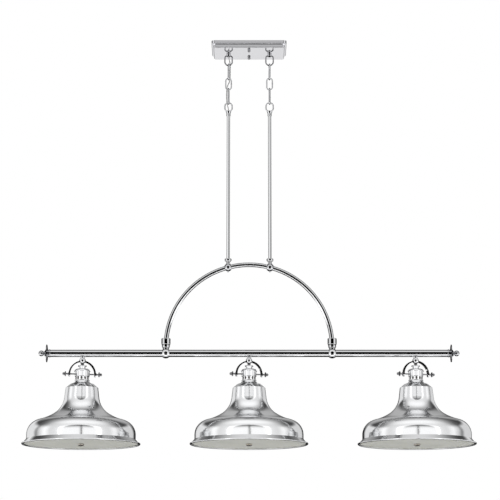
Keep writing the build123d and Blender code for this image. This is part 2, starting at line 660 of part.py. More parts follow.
def socket_cap(x):
    """Turned cap with a nut, dome, drum, vented gallery and skirt, hollow below."""
    nut, collar, dome = CAP_NUT_DIA / 2, CAP_COLLAR_DIA / 2, CAP_DOME_TOP_DIA / 2
    drum, gallery = cap_drum_dia / 2, cap_gallery_dia / 2
    eaves = drum + CAP_EAVES
    eaves_foot = CAP_DRUM_TOP - CAP_EAVES_THICK
    nut_foot = CAP_NUT_TOP - CAP_NUT_THICK
    hollow = gallery - CAP_WALL
    hollow_foot = CAP_GALLERY_FOOT - CAP_WALL
    ceiling = CAP_DRUM_TOP - CAP_WALL
    cap = turned_face(
        Polyline((0, ceiling), (0, CAP_NUT_TOP), (nut, CAP_NUT_TOP), (nut, nut_foot)),
        Polyline((nut, nut_foot), (collar, nut_foot), (collar, CAP_DOME_TOP), (dome, CAP_DOME_TOP)),
        SagittaArc((dome, CAP_DOME_TOP), (eaves, CAP_DRUM_TOP), CAP_DOME_BOW),
        Polyline((eaves, CAP_DRUM_TOP), (eaves, eaves_foot), (drum, eaves_foot)),
        Polyline((drum, eaves_foot), (drum, CAP_DRUM_FOOT), (gallery, CAP_DRUM_FOOT)),
        Line((gallery, CAP_DRUM_FOOT), (gallery, CAP_GALLERY_FOOT)),
        SagittaArc((gallery, CAP_GALLERY_FOOT), (cap_skirt_radius, CAP_FOOT), -CAP_SKIRT_BOW),
        Line((cap_skirt_radius, CAP_FOOT), (cap_skirt_radius - CAP_WALL, CAP_FOOT)),
        Line((cap_skirt_radius - CAP_WALL, CAP_FOOT), (hollow, hollow_foot)),
        Polyline((hollow, hollow_foot), (hollow, ceiling), (0, ceiling)),
    )
    vent_height = CAP_DRUM_FOOT - CAP_GALLERY_FOOT - 2 * VENT_MARGIN
    vent_corner = VENT_ROUNDING * min(VENT_WIDTH, vent_height)
    vent = Plane.XZ * RectangleRounded(VENT_WIDTH, vent_height, vent_corner)
    cutter = Pos(0, 0, (CAP_DRUM_FOOT + CAP_GALLERY_FOOT) / 2) * extrude(vent, cap_drum_dia)
    for index in range(VENT_COUNT):
        cap -= Rot(0, 0, (index + 0.5) * 360 / VENT_COUNT) * cutter
    cap -= Rot(0, 90, 0) * Cylinder(PIN_DIA / 2 + SEAT_GAP, 2 * cap_drum_dia)
    return in_yoke(x, cap)


def rim_slope():
    """How far the conical rim opens for each millimetre that it comes down."""
    return (RIM_FLARE - RIM_BEAD) / (RIM_HEIGHT - RIM_BEAD)


def rim_radius(height, inset):
    """Radius of the conical rim at a height, on a face moved inward by inset."""
    return BELL_RADIUS + rim_slope() * (RIM_HEIGHT - height) - inset * hypot(1, rim_slope())


def flare_radius():
    """Radius of the hollow arc that joins the shoulder to the throat of the bell."""
    shoulder_cos = cos(radians(SHOULDER_SLOPE))
    throat_cos = cos(radians(THROAT_SLOPE))
    shoulder_reach = SHOULDER_RADIUS * (1 - shoulder_cos)
    throat_reach = THROAT_RADIUS * (cos(radians(NECK_LEAN)) - throat_cos)
    flare_reach = BELL_RADIUS - NECK_RADIUS - shoulder_reach - throat_reach
    return flare_reach / (throat_cos - shoulder_cos)


def mitred(corner, before, after, inset):
    """A corner of an outline, moved inward together with the two straight runs that meet there."""
    first, second = Vector(-before.Y, before.X), Vector(-after.Y, after.X)
    return corner + (first + second) * (inset / (1 + first.dot(second)))


def bell_edges(inset):
    """The bell's outline from the rim's bead to the lamp hole, moved inward by inset."""
    radius = BELL_RADIUS - inset
    crease_z = RIM_HEIGHT - inset * (hypot(1, rim_slope()) - 1) / rim_slope()
    cone = Line((rim_radius(RIM_BEAD, inset), RIM_BEAD), (radius, crease_z))
    wall = Line(cone @ 1, (radius, RIM_HEIGHT + BELL_WALL_HEIGHT))
    shoulder = JernArc(wall @ 1, wall % 1, SHOULDER_RADIUS - inset, SHOULDER_SLOPE)
    flare_turn = THROAT_SLOPE - SHOULDER_SLOPE
    flare = JernArc(shoulder @ 1, shoulder % 1, flare_radius() + inset, flare_turn)
    throat = JernArc(flare @ 1, flare % 1, THROAT_RADIUS + inset, NECK_LEAN - THROAT_SLOPE)
    lean = radians(NECK_LEAN)
    neck_foot = (throat @ 1) + inset * Vector(cos(lean), sin(lean))
    rise = SHADE_HEIGHT - CROWN_DROP - neck_foot.Y
    edge = neck_foot + Vector(-rise * tan(lean), rise)
    flat = Vector(crown_flat_radius, SHADE_HEIGHT)
    slope = (flat - edge).normalized()
    neck = Line(throat @ 1, mitred(edge, Vector(-sin(lean), cos(lean)), slope, inset))
    crown = Line(neck @ 1, mitred(flat, slope, Vector(-1, 0), inset))
    top = Line(crown @ 1, (holder_dia / 2 + LAMP_HOLE_GAP, (crown @ 1).Y))
    return [cone, wall, shoulder, flare, throat, neck, crown, top]


def shade(x):
    """Spun bell: rolled rim, conical flare, straight wall, shoulder, long throat and crown."""
    outside = bell_edges(0)
    inside = bell_edges(SHADE_WALL)
    foot = Line(outside[0] @ 0, inside[0] @ 0)
    lip = Line(outside[-1] @ 1, inside[-1] @ 1)
    edges = [edge for curve in (*outside, lip, *inside, foot) for edge in curve.edges()]
    bead = Pos(rim_edge_radius - RIM_BEAD, RIM_BEAD) * Circle(RIM_BEAD)
    bell = revolve(Plane.XZ * (make_face(edges) + bead), Axis.Z)
    return Pos(x, 0, rim_z) * bell


def holder_ring_top_z():
    """Height under the bracket's top plate, against which the holder's ring is screwed."""
    return shade_top_z - SHADE_WALL - BRACKET_STRAP_THICK


def lamp_holder(x):
    """Lamp holder with a screwed ring that clamps the bracket and the shade to the cap."""
    top = pin_z + HOLDER_TOP
    foot = top - HOLDER_LENGTH
    ring_top = holder_ring_top_z()
    body = post(holder_dia, foot, top)
    body = fillet(body.edges().group_by(Axis.Z)[-1], HOLDER_EDGE)
    ring = post(holder_ring_dia, ring_top - HOLDER_RING_HEIGHT, ring_top)
    bore = post(HOLDER_BORE_DIA, foot - 1, foot + HOLDER_BORE_DEPTH)
    return in_yoke(x, Pos(0, 0, -pin_z) * (body + ring - bore))


def diffuser_bracket(x):
    """Flat strap bent round the lamp, with a stud below for the diffuser."""
    top = shade_top_z - SHADE_WALL
    shoulder = top - BRACKET_SHOULDER_DROP
    foot = diffuser_top_z + BRACKET_ABOVE_DIFFUSER
    narrow = holder_ring_dia / 2 + BRACKET_TOP_LIP
    wide = NECK_RADIUS - BRACKET_NECK_GAP
    left = [(-narrow, top), (-wide, shoulder), (-wide, foot)]
    right = [(wide, foot), (wide, shoulder), (narrow, top)]
    plate = make_face(Polyline(*left, *right, close=True).edges())
    hoop = plate - offset(plate, -BRACKET_STRAP_THICK, kind=Kind.INTERSECTION)
    strap = extrude(Plane.XZ * hoop, BRACKET_STRAP_WIDTH / 2, both=True)
    pad = post(holder_ring_dia, top - BRACKET_STRAP_THICK, top)
    stud = post(STUD_DIA, diffuser_z - DIFFUSER_KNOB_HEIGHT / 2, foot + BRACKET_STRAP_THICK)
    strap = strap + pad + stud - post(holder_dia + 2 * SEAT_GAP, shoulder, top + 1)
    return in_yoke(x, Pos(0, 0, -pin_z) * strap)


def diffuser(x):
    """Flat frosted disc that is drawn up into the rim."""
    radius = rim_radius(DIFFUSER_HEIGHT + DIFFUSER_THICK, SHADE_WALL) - FREE_GAP
    disc = post(2 * radius, diffuser_z, diffuser_top_z)
    disc = fillet(disc.edges().filter_by(GeomType.CIRCLE), DIFFUSER_EDGE_SHARE * DIFFUSER_THICK)
    return Pos(x, 0, 0) * (disc - post(STUD_DIA + 2 * SEAT_GAP, diffuser_z - 1, diffuser_top_z + 1))


def diffuser_knob(x):
    """Round knurled nut under the diffuser."""
    foot = diffuser_z - DIFFUSER_KNOB_HEIGHT
    knob = post(DIFFUSER_KNOB_DIA, foot, diffuser_z)
    knob = fillet(knob.edges().group_by(Axis.Z)[0], EDGE_SHARE * DIFFUSER_KNOB_HEIGHT)
    socket_end = diffuser_z - DIFFUSER_KNOB_HEIGHT / 2 - SEAT_GAP
    return Pos(x, 0, 0) * (knob - post(STUD_DIA + 2 * SEAT_GAP, socket_end, diffuser_z + 1))


def all_pieces():
    """Every piece by its node's name; a list holds alike fasteners that share a node."""
    pieces = {
        "canopy": canopy(),
        "ceiling_strap": ceiling_strap(),
        "cross_strap": cross_strap(),
        "canopy_screws": canopy_screws(),
        "canopy_knobs": canopy_knobs(),
        "loop_nuts": loop_nuts(),
        "supply_cord": supply_cord(),
        "rod_collars": rod_collars(),
        "arch": arch(),
        "bar": bar(),
    }
    for name, x in HANGERS.items():
        hang = Pos(x, 0, 0)
        pieces["canopy_loop_" + name] = hang * canopy_loop()
        upper_turn = 90 + LONG_LINK_TURN
        lower_turn = 90 - LONG_LINK_TURN
        pieces["upper_link_" + name] = hang * chain_link(link1_top_z, link1_bottom_z, upper_turn)
        pieces["middle_link_" + name] = hang * chain_link(link2_top_z, link2_bottom_z, 0)
        pieces["lower_link_" + name] = hang * chain_link(link3_top_z, link3_bottom_z, lower_turn)
        pieces["rod_loop_" + name] = hang * rod_loop()
        pieces["rod_" + name] = hang * rod()
        pieces["arch_ball_" + name] = arch_ball(x)
    for name, side in SIDES.items():
        pieces["arch_sleeve_" + name] = arch_sleeve(side * ARCH_RADIUS)
        pieces["bar_ball_" + name] = bar_ball(side * ARCH_RADIUS)
        pieces["end_finial_" + name] = end_finial(side)
    for name, x in HEADS.items():
        pieces["hub_" + name] = hub(x)
        pieces["yoke_" + name] = yoke(x)
        pieces["lead_" + name] = lead(x)
        pieces["thumb_screws_" + name] = thumb_screws(x)
        pieces["socket_cap_" + name] = socket_cap(x)
        pieces["shade_" + name] = shade(x)
        pieces["lamp_holder_" + name] = lamp_holder(x)
        pieces["diffuser_bracket_" + name] = diffuser_bracket(x)
        pieces["diffuser_" + name] = diffuser(x)
        pieces["diffuser_knob_" + name] = diffuser_knob(x)
    return pieces


def main():
    """Write each piece to its own file."""
    os.makedirs("parts", exist_ok=True)
    for name, piece in all_pieces().items():
        solids = piece if isinstance(piece, list) else [piece]
        shape = Compound([solid for part in solids for solid in part.solids()])
        export_step(shape, "parts/" + name + ".step")


if __name__ == "__main__":
    main()
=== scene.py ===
import json
from math import cos, pi, radians, sin

import bpy
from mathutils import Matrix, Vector


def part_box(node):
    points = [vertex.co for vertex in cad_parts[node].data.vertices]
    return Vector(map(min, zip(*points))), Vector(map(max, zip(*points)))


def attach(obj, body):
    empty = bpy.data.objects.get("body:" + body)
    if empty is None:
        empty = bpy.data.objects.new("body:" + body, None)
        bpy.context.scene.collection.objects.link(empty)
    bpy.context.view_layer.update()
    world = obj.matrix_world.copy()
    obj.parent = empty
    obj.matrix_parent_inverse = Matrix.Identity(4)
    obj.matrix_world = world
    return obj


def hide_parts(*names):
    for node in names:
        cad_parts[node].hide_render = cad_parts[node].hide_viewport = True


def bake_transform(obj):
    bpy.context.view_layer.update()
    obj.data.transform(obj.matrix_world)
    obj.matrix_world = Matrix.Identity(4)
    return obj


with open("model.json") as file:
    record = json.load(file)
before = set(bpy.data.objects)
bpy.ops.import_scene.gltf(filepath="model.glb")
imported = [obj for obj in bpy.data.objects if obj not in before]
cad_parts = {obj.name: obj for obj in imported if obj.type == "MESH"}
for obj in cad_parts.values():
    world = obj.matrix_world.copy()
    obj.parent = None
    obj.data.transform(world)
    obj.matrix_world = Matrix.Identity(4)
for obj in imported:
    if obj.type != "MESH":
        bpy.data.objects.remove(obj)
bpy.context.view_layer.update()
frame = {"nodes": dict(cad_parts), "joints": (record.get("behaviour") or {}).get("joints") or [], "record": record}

# A chrome island light for three lamps. The solids of the frame keep their shape and get their
# finishes here. The cord, the wound sleeves, the knurling, the welds and other small trim are built
# around them. Lengths are in metres.

NODES = frame["nodes"]
HEADS = ("left", "centre", "right")
SIDES = ("left", "right")
UP = Vector((0, 0, 1))

# Camera: it stands in front of the light, below the rims, and looks up
CAMERA_DISTANCE = 5.5
CAMERA_HEIGHT = -1.756
CAMERA_ACROSS = 0.003
CAMERA_TILT = radians(11.33)
CAMERA_LENS = 130.8
CAMERA_CLIP_END = 100.0
SENSOR_WIDTH = 36.0

# Floor of the studio
FLOOR_HEIGHT = -2.75
FLOOR_RADIUS = 14.0
FLOOR_SIDES = 128

# Black cards on the floor: each one's name, and the half width and distance of its two ends
CARD_ABOVE_FLOOR = 0.01
CARDS = [
    ("front_card", (8.5, -13.0), (1.6, -1.9)),
    ("rear_card", (2.6, -0.3), (7.0, 13.5)),
]

# Surroundings that the chrome mirrors: their brightness from straight in front, 0, to straight behind, 1,
# and a round dark screen on the camera's side: how far up it is turned, and where its rim ends and starts
WORLD_TONES = [
    (0.0, 1.0),
    (0.12, 1.0),
    (0.2, 0.86),
    (0.33, 0.76),
    (0.42, 0.62),
    (0.5, 0.34),
    (0.6, 0.13),
    (0.74, 0.06),
    (1.0, 0.02),
]
SCREEN_UP = radians(2)
SCREEN_RIM = (radians(43), radians(37))

# Groups of nodes that have lights of their own
HANGER_STEMS = ("upper_link_", "middle_link_", "lower_link_", "rod_loop_", "rod_")
LIT_NODES = {
    "shades": [stem + head for stem in ("shade_", "socket_cap_") for head in HEADS],
    "canopy": ["canopy"],
    "hangers": [stem + side for stem in HANGER_STEMS for side in SIDES],
}

# Soft lights: name, group lit, place, target, size, radiance, and the shares of the sides that fade out
SOFTBOXES = [
    ("front_left", "shades", (-3.82, -7.5, 0.0), (-3.82, 0.0, 0.0), (8.5, 11.6), 0.86, (0.1, 0.45)),
    ("front_right", "shades", (3.82, -7.5, 0.0), (3.82, 0.0, 0.0), (8.5, 11.6), 0.86, (0.1, 0.45)),
    ("rear_left", "shades", (-5.4, 4.5, 0.4), (0.0, 0.0, -1.2), (8.0, 5.4), 0.62, (0.25, 0.25)),
    ("rear_right", "shades", (5.4, 4.5, 0.4), (0.0, 0.0, -1.2), (8.0, 5.4), 0.52, (0.25, 0.25)),
    ("rear_top", "shades", (0.0, 6.0, 3.4), (0.0, 0.0, -1.2), (12.0, 8.0), 0.34, (0.4, 0.4)),
    ("side_left", "shades", (-7.0, -0.6, 0.4), (0.0, -0.6, -1.0), (6.0, 6.0), 0.42, (0.4, 0.4)),
    ("side_right", "shades", (7.0, -0.6, 0.4), (0.0, -0.6, -1.0), (6.0, 6.0), 0.34, (0.4, 0.4)),
    ("top_shades", "shades", (0.0, -1.0, 5.5), (0.0, -1.0, 0.0), (16.0, 12.0), 0.28, (0.4, 0.4)),
    ("front_canopy", "canopy", (0.0, -7.5, 1.6), (0.0, 0.0, 1.6), (9.0, 6.6), 0.4, (0.25, 0.25)),
    ("low_canopy", "canopy", (0.0, 5.0, -1.6), (0.0, 0.0, 0.0), (9.0, 2.2), 0.62, (0.25, 0.25)),
    ("front_hangers", "hangers", (-4.6, -7.5, 2.6), (-4.6, 0.0, 2.6), (11.0, 10.6), 0.7, (0.1, 0.1)),
    ("overhead", "floor", (0.0, 0.0, 3.2), (0.0, 0.0, FLOOR_HEIGHT), (64.0, 64.0), 0.96, (0.05, 0.05)),
]

# Power of a square metre of soft light at a radiance of one
WATTS_PER_SQUARE_METRE = 4.0

# Supply cord: its route beside the left chain, from the chain's line and the ceiling
CORD_DIAMETER = 0.003
CORD_SIDES = 20
CORD_POINTS = [
    (0.0, 0.0, -0.027),
    (0.0005, 0.0005, -0.037),
    (0.0036, 0.0032, -0.047),
    (0.0054, 0.0066, -0.059),
    (0.0052, 0.0070, -0.0758),
    (0.0049, 0.0062, -0.0952),
    (0.0042, 0.0046, -0.1102),
    (-0.0004, 0.0, -0.1218),
    (-0.0046, -0.0046, -0.1344),
    (-0.0058, -0.0064, -0.1476),
    (-0.0061, -0.0068, -0.1666),
    (-0.0054, -0.0060, -0.1809),
    (-0.0032, -0.0024, -0.1939),
    (0.0003, -0.0002, -0.2029),
    (0.0, 0.0, -0.2139),
]
CORD_HINGES = [
    ("canopy", "upper_link_left", "upper_link_sway_left"),
    ("upper_link_left", "lower_chain_left", "middle_link_swing_left"),
    ("lower_chain_left", "frame", "frame_sway"),
]
SPLINE_ORDER = 3
SPLINE_STEPS = 8

# Wound sleeves over the shades' leads, painted dark as shade between hub and cap
SLEEVE_SIDES = 40
SLEEVE_TURNS = 6
SLEEVE_RINGS_PER_TURN = 10
SLEEVE_GROOVE = 0.0005

# Knurls: each tooth takes four steps round a ring, two of them raised
TOOTH_STEPS = 4
RAISED_STEPS = (1, 2)
TOOTH_DEPTH = 0.0003

# Knurled grips of the thumb screws, which stand in the turned yokes
YOKE_TURN = radians(15)
GRIP_OUT = 0.05187
GRIP_RADIUS = 0.0073
GRIP_WIDTH = 0.0016
GRIP_BAND = 0.0012
GRIP_TEETH = 40

# Nuts under the diffusers: shares of the radius and the height, and whether the ring is knurled
NUT_TEETH = 52
NUT_PROFILE = [
    (0.86, 1.0, False),
    (0.94, 0.93, False),
    (1.0, 0.84, True),
    (1.0, 0.38, True),
    (0.95, 0.29, False),
    (0.88, 0.22, False),
    (0.78, 0.15, False),
    (0.52, 0.05, False),
    (0.22, 0.0, False),
]

# Trim of the caps, with heights measured from the pins: the mica sleeve seen through the vents, dark as mica
# and as painted shade, the black washer on the shade as a painted shadow line, the beads (radius, height,
# thickness) and the gland nut at the top
CAP_SIDES = 96
MICA_RADIUS = 0.01822
MICA_SPAN = (-0.0285, -0.006)
MICA_THICK = 0.0003
SHADOW_WASHER_PROUD = 0.0006
SHADOW_WASHER_THICK = 0.0012
SHADOW_WASHER_HEIGHT = 0.0014
CAP_BEADS = [(0.0239, 0.009, 0.0008), (0.0212, -0.0073, 0.0009), (0.0216, -0.0192, 0.001)]
BEAD_STEPS = 16
GLAND_RADIUS = 0.0125
GLAND_SPAN = (0.0233, 0.0263)
GLAND_THICK = 0.0003
GLAND_TEETH = 36

# Black washers above and below the rings that the arch stands on, which paint shadow lines: radius and span from
# the sleeves' feet
SLEEVE_SHADOW_WASHERS = [(0.0129, (-0.0011, 0.0005)), (0.0104, (-0.0113, -0.0098))]
SLEEVE_SHADOW_WASHER_THICK = 0.003

# Welds of the chain's links: the link's half width and wire, the weld's size, its outline as shares of
# the half length and the rise, and for each link its body and the side that its weld is on
LINK_HALF_WIDTH = 0.0087
LINK_WIRE_RADIUS = 0.0019
WELD_RISE = 0.0004
WELD_LENGTH = 0.0042
WELD_CORE_SHARE = 0.6
WELD_SIDES = 24
WELD_OUTLINE = [(-1.0, 0.0), (-0.55, 0.62), (-0.2, 1.0), (0.2, 1.0), (0.55, 0.62), (1.0, 0.0)]
LINK_WELDS = [
    ("upper_link_", "upper_link_", radians(279)),
    ("middle_link_", "lower_chain_", 0.0),
    ("lower_link_", "lower_chain_", radians(81)),
]


def joint_place(name):
    """The point that a joint turns about."""
    return Vector(next(joint["pos_m"] for joint in frame["joints"] if joint["name"] == name))


def link(obj):
    """Put an object into the scene."""
    bpy.context.scene.collection.objects.link(obj)
    return obj


def mesh_object(name, points, faces, material, smooth=True):
    """A mesh with one material."""
    mesh = bpy.data.meshes.new(name)
    mesh.from_pydata([tuple(point) for point in points], [], faces)
    mesh.update()
    mesh.polygons.foreach_set("use_smooth", [smooth] * len(mesh.polygons))
    mesh.materials.append(material)
    return link(bpy.data.objects.new(name, mesh))


# Materials

# Noise: its scale, or how it is drawn out along X, Y and Z, in cells to a metre
PLATE_CLOUDS = 9.0
PLATE_SMEARS = (60.0, 60.0, 14.0)
SPUN_CLOUDS = 7.0
SPUN_RINGS = (0.6, 0.6, 420.0)
ZINC_STREAKS = (30.0, 500.0, 500.0)
ZINC_STREAK_SCALE = 2.0
ZINC_SPANGLE = 240.0
CORD_STRANDS = (260.0, 260.0, 900.0)
FELT = 420.0
GLAZE_MOTTLE = 90.0
OPAL_CLOUDS = 11.0
OPAL_TOOTH = 900.0
FLOOR_CLOUDS = 0.8

# Spans of the noise over which a tone or a roughness changes, and how two noises are mixed
SOFT_SPAN = (0.3, 0.7)
CRISP_SPAN = (0.35, 0.65)
WORN_SPAN = (0.3, 0.72)
SMEAR_SHARE = 0.4
RING_SHARE = 0.5
CLOUDED_SHARE = 0.97

# Roughness, or its lowest and highest value
SPUN_ROUGHNESS = (0.09, 0.15)
ZINC_ROUGHNESS = (0.26, 0.42)
FELT_ROUGHNESS = 0.85
GLAZE_ROUGHNESS = 0.18
OPAL_ROUGHNESS = 0.5
FLOOR_ROUGHNESS = 0.8

# Clear coats: weight and roughness
CORD_COAT = (0.35, 0.08)
GLAZE_COAT = (0.5, 0.05)

# Bumps: strength and depth
SPUN_BUMP = (0.012, 0.0004)
ZINC_BUMP = (0.12, 0.0003)
CORD_BUMP = (0.2, 0.0002)
FELT_BUMP = (0.3, 0.0002)
GLAZE_BUMP = (0.08, 0.0004)
OPAL_BUMP = (0.15, 0.0002)

# Opal glass: how much it mirrors and how far light wanders in it
OPAL_SPECULAR = 0.2
OPAL_SUBSURFACE = 0.25
OPAL_SUBSURFACE_RADIUS = (0.004, 0.004, 0.003)


def grey(value):
    """A neutral colour."""
    return (value, value, value)


# Darker and lighter tone of each material
SPUN_TONES = ((0.86, 0.865, 0.875), (0.9, 0.905, 0.915))
ZINC_TONES = (grey(0.46), grey(0.62))
CORD_TONES = (grey(0.34), grey(0.60))
# Near black: the black of the cards, and painted shadow in the washers
BLACK_SHADOW_TONES = (grey(0.012), grey(0.03))
# Dark brown of the mica, which also paints the shade inside the vents
MICA_AND_SHADOW_TONES = ((0.17, 0.165, 0.15), (0.27, 0.26, 0.24))
GLAZE_TONES = ((0.80, 0.78, 0.73), (0.86, 0.85, 0.81))
# Opal tones painted darker than the glass: painted shade on the diffusers' undersides
OPAL_TONES_PAINTED_DARKER = ((0.40, 0.405, 0.372), (0.445, 0.445, 0.412))
FLOOR_TONES = (grey(0.84), grey(0.87))


class Graph:
    """A node tree, with short ways to add and join nodes."""

    def __init__(self, tree):
        self.tree = tree
        self.tree.nodes.clear()

    def add(self, kind, **settings):
        node = self.tree.nodes.new(kind)
        for name, value in settings.items():
            setattr(node, name, value)
        return node

    def join(self, source, target):
        self.tree.links.new(source, target)

    def math(self, operation, first, second=None):
        node = self.add("ShaderNodeMath", operation=operation)
        for socket, value in zip(node.inputs, (first, second)):
            if isinstance(value, (int, float)):
                socket.default_value = value
            elif value is not None:
                self.join(value, socket)
        return node.outputs[0]

    def mixed(self, first, second, share):
        """Two values added, the second with its share."""
        first_part = self.math("MULTIPLY", first, 1 - share)
        second_part = self.math("MULTIPLY", second, share)
        return self.math("ADD", first_part, second_part)

    def spread(self, value, span, to_span, smooth=False):
        """Map a value from one span to another."""
        node = self.add("ShaderNodeMapRange")
        node.interpolation_type = "SMOOTHSTEP" if smooth else "LINEAR"
        for name, number in zip(("From Min", "From Max", "To Min", "To Max"), (*span, *to_span)):
            node.inputs[name].default_value = number
        self.join(value, node.inputs["Value"])
        return node.outputs["Result"]

    def noise(self, vector, scale=1.0, detail=4.0, roughness=0.55):
        node = self.add("ShaderNodeTexNoise")
        node.inputs["Scale"].default_value = scale
        node.inputs["Detail"].default_value = detail
        node.inputs["Roughness"].default_value = roughness
        self.join(vector, node.inputs["Vector"])
        return node.outputs["Fac"]

    def stretched(self, vector, scale):
        """Coordinates drawn out along an axis."""
        node = self.add("ShaderNodeMapping")
        node.inputs["Scale"].default_value = scale
        self.join(vector, node.inputs["Vector"])
        return node.outputs["Vector"]

    def ramp(self, value, stops):
        node = self.add("ShaderNodeValToRGB")
        elements = node.color_ramp.elements
        while len(elements) < len(stops):
            elements.new(0.5)
        for element, (place, colour) in zip(elements, stops):
            element.position = place
            element.color = (*colour, 1.0)
        self.join(value, node.inputs["Fac"])
        return node.outputs["Color"]

    def bump(self, height, strength, distance):
        node = self.add("ShaderNodeBump")
        node.inputs["Strength"].default_value = strength
        node.inputs["Distance"].default_value = distance
        self.join(height, node.inputs["Height"])
        return node.outputs["Normal"]


class Finish(Graph):
    """A material's node tree about one principled shader, with its object coordinates at hand."""

    def __init__(self, name):
        self.material = bpy.data.materials.new(name)
        self.material.use_nodes = True
        super().__init__(self.material.node_tree)
        self.shader = self.add("ShaderNodeBsdfPrincipled")
        self.output = self.add("ShaderNodeOutputMaterial")
        self.join(self.shader.outputs["BSDF"], self.output.inputs["Surface"])
        self.place = self.add("ShaderNodeTexCoord").outputs["Object"]

    def fix(self, socket, value):
        """Set a shader's socket to one value all over."""
        self.shader.inputs[socket].default_value = value

    def feed(self, socket, source):
        """Drive a shader's socket by a node."""
        self.join(source, self.shader.inputs[socket])

    def coat(self, weight, roughness):
        self.fix("Coat Weight", weight)
        self.fix("Coat Roughness", roughness)

    def colour(self, value, tones, span):
        """Colour between two tones, over a span of a value."""
        self.feed("Base Color", self.ramp(value, tuple(zip(span, tones))))


def chrome(name, tint, low, high):
    """Polished plate with a faint cloudiness from handling, and its lowest and highest roughness."""
    finish = Finish(name)
    finish.fix("Metallic", 1.0)
    clouds = finish.noise(finish.place, PLATE_CLOUDS)
    smears = finish.noise(finish.stretched(finish.place, PLATE_SMEARS), detail=3.0)
    worn = finish.mixed(clouds, smears, SMEAR_SHARE)
    finish.feed("Roughness", finish.spread(worn, WORN_SPAN, (low, high)))
    clouded = tuple(CLOUDED_SHARE * part for part in tint)
    finish.colour(clouds, (clouded, tint), SOFT_SPAN)
    return finish.material


def spun_chrome():
    """Plated spun sheet: polished, with the faintest rings left by the spinning tool."""
    finish = Finish("spun_chrome")
    finish.fix("Metallic", 1.0)
    clouds = finish.noise(finish.place, SPUN_CLOUDS)
    rings = finish.noise(finish.stretched(finish.place, SPUN_RINGS), detail=2.0)
    worn = finish.mixed(clouds, rings, RING_SHARE)
    finish.feed("Roughness", finish.spread(worn, WORN_SPAN, SPUN_ROUGHNESS))
    finish.colour(clouds, SPUN_TONES, SOFT_SPAN)
    finish.feed("Normal", finish.bump(rings, *SPUN_BUMP))
    return finish.material


def zinc_steel():
    """Plated sheet steel with a faint spangle and drawn streaks."""
    finish = Finish("zinc_steel")
    finish.fix("Metallic", 1.0)
    streaks = finish.noise(finish.stretched(finish.place, ZINC_STREAKS), ZINC_STREAK_SCALE)
    spangle = finish.noise(finish.place, ZINC_SPANGLE, detail=2.0)
    finish.colour(spangle, ZINC_TONES, SOFT_SPAN)
    finish.feed("Roughness", finish.spread(streaks, SOFT_SPAN, ZINC_ROUGHNESS))
    finish.feed("Normal", finish.bump(streaks, *ZINC_BUMP))
    return finish.material


def sheath(name, tones, roughness):
    """Smooth cord sheath with a faint twist of the strands under it."""
    finish = Finish(name)
    finish.fix("Roughness", roughness)
    finish.coat(*CORD_COAT)
    strands = finish.noise(finish.stretched(finish.place, CORD_STRANDS), detail=2.0)
    finish.colour(strands, tones, CRISP_SPAN)
    finish.feed("Normal", finish.bump(strands, *CORD_BUMP))
    return finish.material


def fibre(name, tones):
    """Insulating board with a matted surface, in the tones given; the near-black tones paint shadow."""
    finish = Finish(name)
    finish.fix("Roughness", FELT_ROUGHNESS)
    felt = finish.noise(finish.place, FELT)
    finish.colour(felt, tones, CRISP_SPAN)
    finish.feed("Normal", finish.bump(felt, *FELT_BUMP))
    return finish.material


def porcelain():
    """Glazed lamp holder."""
    finish = Finish("porcelain")
    finish.fix("Roughness", GLAZE_ROUGHNESS)
    finish.coat(*GLAZE_COAT)
    mottle = finish.noise(finish.place, GLAZE_MOTTLE)
    finish.colour(mottle, GLAZE_TONES, CRISP_SPAN)
    finish.feed("Normal", finish.bump(mottle, *GLAZE_BUMP))
    return finish.material


def frosted_glass():
    """Etched opal glass: a cream disc with a fine tooth, its tones painted darker as shade on its underside."""
    finish = Finish("frosted_glass")
    finish.fix("Roughness", OPAL_ROUGHNESS)
    finish.fix("Specular IOR Level", OPAL_SPECULAR)
    finish.fix("Subsurface Weight", OPAL_SUBSURFACE)
    finish.fix("Subsurface Radius", OPAL_SUBSURFACE_RADIUS)
    clouds = finish.noise(finish.place, OPAL_CLOUDS)
    finish.colour(clouds, OPAL_TONES_PAINTED_DARKER, SOFT_SPAN)
    tooth = finish.noise(finish.place, OPAL_TOOTH, detail=2.0)
    finish.feed("Normal", finish.bump(tooth, *OPAL_BUMP))
    return finish.material


def floor_paint():
    """Pale matt floor with a slight unevenness, clear when it is seen from below."""
    finish = Finish("floor_paint")
    finish.fix("Roughness", FLOOR_ROUGHNESS)
    clouds = finish.noise(finish.place, FLOOR_CLOUDS)
    finish.colour(clouds, FLOOR_TONES, SOFT_SPAN)
    either = finish.add("ShaderNodeMixShader")
    finish.join(finish.add("ShaderNodeNewGeometry").outputs["Backfacing"], either.inputs["Fac"])
    finish.join(finish.shader.outputs["BSDF"], either.inputs[1])
    finish.join(finish.add("ShaderNodeBsdfTransparent").outputs["BSDF"], either.inputs[2])
    finish.join(either.outputs["Shader"], finish.output.inputs["Surface"])
    return finish.material


# Every material: its tint or tones, and its roughness
POLISHED = chrome("polished_chrome", (0.88, 0.885, 0.895), 0.012, 0.045)
PRESSED = chrome("pressed_chrome", (0.87, 0.87, 0.895), 0.05, 0.1)
TURNED = chrome("turned_nickel", (0.62, 0.58, 0.54), 0.12, 0.22)
# Near-black tint of the wound sleeves: painted shade between hub and cap
WOUND_PAINTED_DARK = chrome("wound_steel_painted_dark", (0.22, 0.22, 0.225), 0.22, 0.34)
# Darker copy of the polished chrome: painted shade on the small turned and bent pieces
PAINTED_DARK_CHROME = chrome("chrome_painted_dark", (0.36, 0.36, 0.37), 0.05, 0.12)
